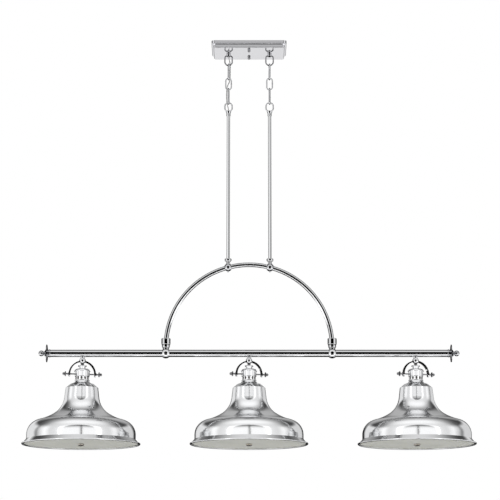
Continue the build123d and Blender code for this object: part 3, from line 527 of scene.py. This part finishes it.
# Dimmer copy of the polished chrome: painted shade on the chain, loops, balls and finials
PAINTED_DIM_CHROME = chrome("chrome_painted_dim", (0.66, 0.665, 0.68), 0.02, 0.06)
SPUN = spun_chrome()
ZINC = zinc_steel()
CORD_SHEATH = sheath("cord_sheath", CORD_TONES, 0.3)
PORCELAIN = porcelain()
BLACK_SHADOW = fibre("fibre", BLACK_SHADOW_TONES)
MICA_AND_SHADOW = fibre("mica", MICA_AND_SHADOW_TONES)
FROSTED = frosted_glass()
SLOT_MATERIALS = {
    "chrome": POLISHED,
    "zinc_steel": ZINC,
    "cord": CORD_SHEATH,
    "lead": WOUND_PAINTED_DARK,
    "lamp_holder": PORCELAIN,
    "diffuser": FROSTED,
}

# Small turned and bent pieces, which look darker than the tubes: painted shade, by darker and dimmer copies of the
# chrome
PAINTED_DARK_STEMS = ("thumb_screws_", "canopy_loop_", "canopy_knobs")
PAINTED_DIM_STEMS = ("upper_link_", "middle_link_", "lower_link_", "rod_loop_", "arch_ball_", "end_finial_")


def finish_nodes():
    """Give each solid of the frame its material: by its slot, with sheet and small work apart."""
    for row in frame["record"]["subparts"]:
        name = row["node"]
        material = SLOT_MATERIALS[row["material_slot"]]
        if name.startswith("shade_"):
            material = SPUN
        elif name == "canopy":
            material = PRESSED
        # The darker and dimmer chromes paint shade on the small pieces
        elif name.startswith(PAINTED_DARK_STEMS):
            material = PAINTED_DARK_CHROME
        elif name.startswith(PAINTED_DIM_STEMS):
            material = PAINTED_DIM_CHROME
        obj = NODES[name]
        obj.data.materials.clear()
        obj.data.materials.append(material)


# Round pieces


def ring_faces(rings, sides, closed=False):
    """The faces between rings of points in turn and, if closed, from the last to the first."""
    faces = []
    for ring in range(rings if closed else rings - 1):
        low = ring * sides
        high = (ring + 1) % rings * sides
        for step in range(sides):
            following = (step + 1) % sides
            faces.append((low + step, low + following, high + following, high + step))
    return faces


def crosswise(axis):
    """Two directions square to an axis and to each other."""
    side = axis.orthogonal().normalized()
    return side, axis.cross(side)


def toothed(radius, step):
    """The radius at one of the steps of a knurl's tooth."""
    return radius + (TOOTH_DEPTH if step % TOOTH_STEPS in RAISED_STEPS else 0.0)


def turned_rings(centre, axis, profile, sides):
    """Points of rings about an axis, with each ring's radius and height, and whether it has teeth."""
    side, other = crosswise(axis)
    points = []
    for radius, height, knurled in profile:
        for step in range(sides):
            turn = 2 * pi * step / sides
            reach = toothed(radius, step) if knurled else radius
            points.append(centre + axis * height + reach * (cos(turn) * side + sin(turn) * other))
    return points


def turned_ring(name, centre, axis, profile, sides, material, smooth=True):
    """A ring with a closed section."""
    points = turned_rings(centre, axis, profile, sides)
    faces = ring_faces(len(profile), sides, closed=True)
    return mesh_object(name, points, faces, material, smooth)


def thumb_grips():
    """A knurled band round the disc of each thumb screw."""
    half = GRIP_WIDTH / 2
    edge = half - TOOTH_DEPTH
    root = GRIP_RADIUS - TOOTH_DEPTH
    core = GRIP_RADIUS - GRIP_BAND
    profile = [
        (root, -half, False),
        (GRIP_RADIUS, -edge, True),
        (GRIP_RADIUS, edge, True),
        (root, half, False),
        (core, half, False),
        (core, -half, False),
    ]
    sides = TOOTH_STEPS * GRIP_TEETH
    for head in HEADS:
        for sign, side in zip((-1, 1), SIDES):
            axis = sign * Vector((cos(YOKE_TURN), sin(YOKE_TURN), 0))
            centre = joint_place("shade_tilt_" + head) + GRIP_OUT * axis
            name = f"thumb_grip_{head}_{side}"
            # The grips take the darker chrome: painted shade
            piece = turned_ring(name, centre, axis, profile, sides, PAINTED_DARK_CHROME, smooth=False)
            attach(piece, "head_" + head)


def diffuser_nuts():
    """The knurled nut with a domed foot under each diffuser."""
    sides = TOOTH_STEPS * NUT_TEETH
    for head in HEADS:
        low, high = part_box("diffuser_knob_" + head)
        radius = (high.x - low.x) / 2
        height = high.z - low.z
        centre = Vector(((low.x + high.x) / 2, (low.y + high.y) / 2, low.z))
        profile = []
        for share, rise, knurled in NUT_PROFILE:
            root = share * radius - (TOOTH_DEPTH if knurled else 0.0)
            profile.append((root, rise * height, knurled))
        points = turned_rings(centre, UP, profile, sides)
        faces = [tuple(reversed(face)) for face in ring_faces(len(profile), sides)]
        faces.append(tuple(range(sides)))
        faces.append(tuple(reversed(range((len(profile) - 1) * sides, len(profile) * sides))))
        piece = mesh_object("diffuser_nut_" + head, points, faces, TURNED, smooth=False)
        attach(piece, "head_" + head)
        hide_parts("diffuser_knob_" + head)


def link_welds():
    """The slight swelling where the wire of each link is welded shut."""
    half = WELD_LENGTH / 2
    core = WELD_CORE_SHARE * LINK_WIRE_RADIUS
    profile = [(LINK_WIRE_RADIUS + WELD_RISE * rise, half * place, False) for place, rise in WELD_OUTLINE]
    profile += [(core, half, False), (core, -half, False)]
    for stem, body, turn in LINK_WELDS:
        for side in SIDES:
            low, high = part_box(stem + side)
            centre = (low + high) / 2 + LINK_HALF_WIDTH * Vector((cos(turn), sin(turn), 0))
            # The welds take the dimmer chrome: painted shade
            piece = turned_ring("weld_" + stem + side, centre, UP, profile, WELD_SIDES, PAINTED_DIM_CHROME)
            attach(piece, body + side)


def band(radius, span, thick, knurled=False):
    """The section of a flat ring, from its outer foot round to its inner foot."""
    foot, top = span
    inner = radius - thick
    return [(radius, foot, knurled), (radius, top, knurled), (inner, top, False), (inner, foot, False)]


def bead(radius, height, thick):
    """The section of a round ring."""
    turns = [2 * pi * step / BEAD_STEPS for step in range(BEAD_STEPS)]
    return [(radius + thick * cos(turn), height + thick * sin(turn), False) for turn in turns]


def cap_trim():
    """The rings on and in each cap: mica sleeve, dark partly as painted shade, black washer on the shade as a
    painted shadow line, gland nut and turned beads.
    """
    low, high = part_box("socket_cap_centre")
    foot = low.z - joint_place("shade_tilt_centre").z
    mica = band(MICA_RADIUS, MICA_SPAN, MICA_THICK)
    # The black washer on the shade paints a shadow line
    shadow_washer = band((high.x - low.x) / 2 + SHADOW_WASHER_PROUD, (foot, foot + SHADOW_WASHER_HEIGHT), SHADOW_WASHER_THICK)
    gland = band(GLAND_RADIUS, GLAND_SPAN, GLAND_THICK, knurled=True)
    rings = [
        # The mica sleeve's dark tone is partly painted shade inside the vents
        ("mica_sleeve_", mica, CAP_SIDES, MICA_AND_SHADOW, "lamp_holder"),
        ("cap_shadow_washer_", shadow_washer, CAP_SIDES, BLACK_SHADOW, "lamp_holder"),
        ("gland_nut_", gland, TOOTH_STEPS * GLAND_TEETH, POLISHED, "chrome"),
    ]
    for number, sizes in enumerate(CAP_BEADS, start=1):
        rings.append((f"cap_bead_{number}_", bead(*sizes), CAP_SIDES, POLISHED, "chrome"))
    for head in HEADS:
        centre = joint_place("shade_tilt_" + head)
        for stem, profile, sides, material, slot in rings:
            piece = turned_ring(stem + head, centre, UP, profile, sides, material)
            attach(piece, "head_" + head)


def sleeve_shadow_washers():
    """The black washers above and below the ring under each foot of the arch, which paint shadow lines there."""
    for side in SIDES:
        low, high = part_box("arch_sleeve_" + side)
        foot = Vector(((low.x + high.x) / 2, (low.y + high.y) / 2, low.z))
        for number, (radius, span) in enumerate(SLEEVE_SHADOW_WASHERS, start=1):
            # The black washers paint shadow lines
            profile = band(radius, span, SLEEVE_SHADOW_WASHER_THICK)
            piece = turned_ring(f"sleeve_shadow_washer_{number}_{side}", foot, UP, profile, CAP_SIDES, BLACK_SHADOW)
            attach(piece, "frame")


# Cords


def spline_points(points):
    """Points along the smooth line that has the given route as its control points."""
    curve = bpy.data.curves.new("route", "CURVE")
    curve.dimensions = "3D"
    curve.resolution_u = SPLINE_STEPS
    spline = curve.splines.new("NURBS")
    spline.points.add(len(points) - 1)
    for target, point in zip(spline.points, points):
        target.co = (*point, 1.0)
    spline.order_u = SPLINE_ORDER
    spline.use_endpoint_u = True
    holder = bpy.data.objects.new("route", curve)
    line = bpy.data.meshes.new_from_object(holder)
    found = [vertex.co.copy() for vertex in line.vertices]
    bpy.data.objects.remove(holder)
    bpy.data.curves.remove(curve)
    bpy.data.meshes.remove(line)
    return found


def tube(name, line, radii, sides, material):
    """A closed round tube along a line of points, with a radius for each."""
    side = Vector((1, 0, 0))
    points = []
    for index, centre in enumerate(line):
        ahead = line[min(index + 1, len(line) - 1)] - line[max(index - 1, 0)]
        ahead.normalize()
        side = (side - ahead * side.dot(ahead)).normalized()
        other = ahead.cross(side)
        for step in range(sides):
            turn = 2 * pi * step / sides
            points.append(centre + radii[index] * (cos(turn) * side + sin(turn) * other))
    faces = ring_faces(len(line), sides)
    faces.append(tuple(reversed(range(sides))))
    faces.append(tuple(range((len(line) - 1) * sides, len(line) * sides)))
    return mesh_object(name, points, faces, material)


def supply_cord():
    """The thin cord through the left chain, in stretches that each span one joint."""
    hang = Vector((joint_place("frame_sway").x, 0, 0))
    line = [hang + point for point in spline_points(CORD_POINTS)]
    heights = [joint_place(name).z for _, _, name in CORD_HINGES]
    between = [(upper + lower) / 2 for upper, lower in zip(heights, heights[1:])]
    cuts = [line[0].z, *between, line[-1].z]
    ends = [min(range(len(line)), key=lambda index: abs(line[index].z - cut)) for cut in cuts]
    for number, (upper, lower, name) in enumerate(CORD_HINGES):
        stretch = line[ends[number]:ends[number + 1] + 1]
        radii = [CORD_DIAMETER / 2] * len(stretch)
        piece = tube(f"supply_cord_{number + 1}", stretch, radii, CORD_SIDES, CORD_SHEATH)
        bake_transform(piece)
        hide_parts("supply_cord")


def lead_sleeves():
    """The short wound sleeve over each shade's lead."""
    count = SLEEVE_TURNS * SLEEVE_RINGS_PER_TURN
    for head in HEADS:
        low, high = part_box("lead_" + head)
        centre = (low + high) / 2
        radius = (high.x - low.x) / 2
        line = []
        radii = []
        for step in range(count + 1):
            share = step / count
            line.append(Vector((centre.x, centre.y, high.z - (high.z - low.z) * share)))
            radii.append(radius - SLEEVE_GROOVE * (1 + cos(2 * pi * SLEEVE_TURNS * share)) / 2)
        # The dark sleeve paints the shade between hub and cap
        piece = tube("lead_sleeve_" + head, line, radii, SLEEVE_SIDES, WOUND_PAINTED_DARK)
        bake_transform(piece)
        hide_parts("lead_" + head)


# Studio


def camera():
    """The photograph's viewpoint."""
    data = bpy.data.cameras.new("camera")
    data.lens = CAMERA_LENS
    data.sensor_width = SENSOR_WIDTH
    data.clip_end = CAMERA_CLIP_END
    obj = link(bpy.data.objects.new("camera", data))
    obj.location = (CAMERA_ACROSS, -CAMERA_DISTANCE, CAMERA_HEIGHT)
    obj.rotation_euler = (pi / 2 + CAMERA_TILT, 0.0, 0.0)
    bpy.context.scene.camera = obj


def floor():
    """A wide pale floor under the light."""
    turns = [2 * pi * step / FLOOR_SIDES for step in range(FLOOR_SIDES)]
    points = [(FLOOR_RADIUS * cos(turn), FLOOR_RADIUS * sin(turn), FLOOR_HEIGHT) for turn in turns]
    obj = mesh_object("floor", points, [tuple(range(FLOOR_SIDES))], floor_paint())
    return obj


def dark_cards():
    """Black cards on the floor, which only mirrors see, for dark lines along the polished tubes."""
    height = FLOOR_HEIGHT + CARD_ABOVE_FLOOR
    for name, (near_half, near), (far_half, far) in CARDS:
        points = [
            (-near_half, near, height),
            (near_half, near, height),
            (far_half, far, height),
            (-far_half, far, height),
        ]
        obj = mesh_object(name, points, [(0, 1, 2, 3)], BLACK_SHADOW)
        obj.visible_camera = False
        obj.visible_diffuse = False
        obj.visible_shadow = False


def studio_world():
    """Studio surroundings: bright in front, dark behind, with a round dark screen about the camera."""
    world = bpy.data.worlds.new("studio")
    world.use_nodes = True
    bpy.context.scene.world = world
    graph = Graph(world.node_tree)
    split = graph.add("ShaderNodeSeparateXYZ")
    graph.join(graph.add("ShaderNodeTexCoord").outputs["Generated"], split.inputs[0])
    _, along, up = split.outputs
    behind = graph.spread(along, (-1.0, 1.0), (0.0, 1.0))
    base = graph.ramp(behind, [(place, grey(tone)) for place, tone in WORLD_TONES])
    level = graph.math("MULTIPLY", along, -cos(SCREEN_UP))
    raised = graph.math("MULTIPLY", up, sin(SCREEN_UP))
    toward = graph.math("ADD", level, raised)
    screen = graph.spread(toward, [cos(angle) for angle in SCREEN_RIM], (0.0, 1.0), smooth=True)
    shaded = graph.add("ShaderNodeMix", data_type="RGBA")
    graph.join(screen, shaded.inputs["Factor"])
    graph.join(base, shaded.inputs["A"])
    shaded.inputs["B"].default_value = (*grey(0.0), 1.0)
    seen = graph.add("ShaderNodeBackground")
    seen.inputs["Color"].default_value = (*grey(1.0), 1.0)
    mirrored = graph.add("ShaderNodeBackground")
    graph.join(shaded.outputs["Result"], mirrored.inputs["Color"])
    either = graph.add("ShaderNodeMixShader")
    graph.join(graph.add("ShaderNodeLightPath").outputs["Is Camera Ray"], either.inputs["Fac"])
    graph.join(mirrored.outputs[0], either.inputs[1])
    graph.join(seen.outputs[0], either.inputs[2])
    output = graph.add("ShaderNodeOutputWorld")
    graph.join(either.outputs[0], output.inputs["Surface"])


def receivers(name, objects):
    """A group of objects that a light shines on."""
    group = bpy.data.collections.new(name)
    for obj in objects:
        group.objects.link(obj)
    return group


def softbox(name, group, place, target, size, radiance, edges):
    """A rectangular light, faded over shares of its two sides, that shines on one group of objects."""
    data = bpy.data.lights.new(name, "AREA")
    data.shape = "RECTANGLE"
    data.size, data.size_y = size
    data.energy = WATTS_PER_SQUARE_METRE * radiance * data.size * data.size_y
    data.use_nodes = True
    graph = Graph(data.node_tree)
    parts = graph.add("ShaderNodeSeparateXYZ")
    graph.join(graph.add("ShaderNodeNewGeometry").outputs["Parametric"], parts.inputs[0])
    fades = []
    for share, edge in zip(parts.outputs, edges):
        from_middle = graph.math("ABSOLUTE", graph.math("SUBTRACT", share, 0.5))
        fades.append(graph.spread(from_middle, (0.5 - edge, 0.5), (1.0, 0.0), smooth=True))
    shine = graph.add("ShaderNodeEmission")
    graph.join(graph.math("MULTIPLY", *fades), shine.inputs["Strength"])
    graph.join(shine.outputs[0], graph.add("ShaderNodeOutputLight").inputs["Surface"])
    obj = link(bpy.data.objects.new(name, data))
    obj.location = place
    obj.rotation_euler = (Vector(target) - Vector(place)).to_track_quat("-Z", "Y").to_euler()
    obj.visible_camera = False
    obj.light_linking.receiver_collection = group


def lights(ground):
    """Soft lights for the shades, the canopy, the hangers and the floor; the rest mirrors the studio."""
    groups = {}
    for name, nodes in LIT_NODES.items():
        groups[name] = receivers("lit_" + name, [NODES[node] for node in nodes])
    groups["floor"] = receivers("lit_floor", [ground])
    for name, lit, *settings in SOFTBOXES:
        softbox(name, groups[lit], *settings)


bpy.context.scene.view_settings.view_transform = "Standard"
camera()
supply_cord()
lead_sleeves()
studio_world()
lights(floor())
dark_cards()
finish_nodes()
thumb_grips()
diffuser_nuts()
cap_trim()
sleeve_shadow_washers()
link_welds()
